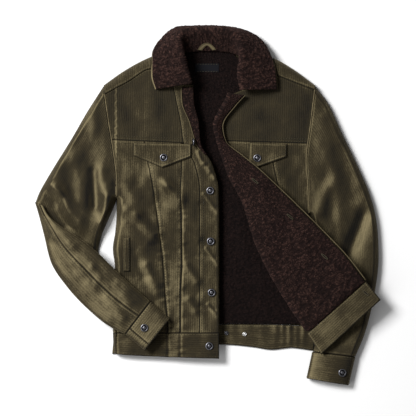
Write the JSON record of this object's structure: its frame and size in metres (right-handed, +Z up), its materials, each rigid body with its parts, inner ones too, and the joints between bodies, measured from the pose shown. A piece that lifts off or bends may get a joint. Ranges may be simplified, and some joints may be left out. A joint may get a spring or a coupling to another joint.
{
  "type": "sherpa lined jacket",
  "caption": "Corduroy trucker jacket with a sherpa lining and collar, laid flat with its right front turned back and its left forearm folded over the body.",
  "frame": {"origin": "middle of the outline's box, on the surface it lies on", "axes": "+Z up from that surface, +Y from hem to collar, +X to the right as one looks down at the open front"},
  "size_m": [0.743, 0.7744, 0.0494],
  "materials": {
    "corduroy": "olive cotton corduroy, fine wales, soft nap with a low sheen",
    "corduroy_edge": "the same corduroy rubbed lighter at folded edges and tapes",
    "sherpa": "dark brown curly sherpa pile, matt",
    "label_cloth": "bare woven satin label, near black",
    "gunmetal": "pressed steel shank buttons and studs, dull gunmetal plating"
  },
  "bodies": {
    "root": {"back_panel": "corduroy", "back_yoke": "corduroy", "back_waistband": "corduroy", "left_yoke": "corduroy", "left_side_panel": "corduroy", "left_middle_panel": "corduroy", "left_centre_panel": "corduroy", "left_placket": "corduroy", "left_waistband": "corduroy", "left_pocket_flap": "corduroy", "left_pocket_welt": "corduroy", "right_yoke": "corduroy", "right_side_panel": "corduroy", "right_front_panel": "corduroy", "right_placket": "corduroy", "right_waistband": "corduroy", "right_pocket_flap": "corduroy", "left_upper_sleeve": "corduroy", "left_under_sleeve": "corduroy", "left_forearm_front": "corduroy", "left_forearm_back": "corduroy", "left_cuff": "corduroy", "right_top_sleeve": "corduroy", "right_under_sleeve": "corduroy", "right_cuff": "corduroy", "left_edge_binding": "corduroy_edge", "right_edge_binding": "corduroy_edge", "undercollar": "corduroy_edge", "hanger_loop": "corduroy_edge", "back_lining": "sherpa", "left_lining_roll": "sherpa", "right_lining": "sherpa", "collar": "sherpa", "neck_label": "label_cloth", "front_button_1": "gunmetal", "front_button_2": "gunmetal", "front_button_3": "gunmetal", "front_button_4": "gunmetal", "waist_button": "gunmetal", "left_flap_button": "gunmetal", "right_flap_button": "gunmetal", "left_cuff_button": "gunmetal", "right_cuff_button": "gunmetal", "waist_stud_1": "gunmetal", "waist_stud_2": "gunmetal"}
  },
  "joints": []
}
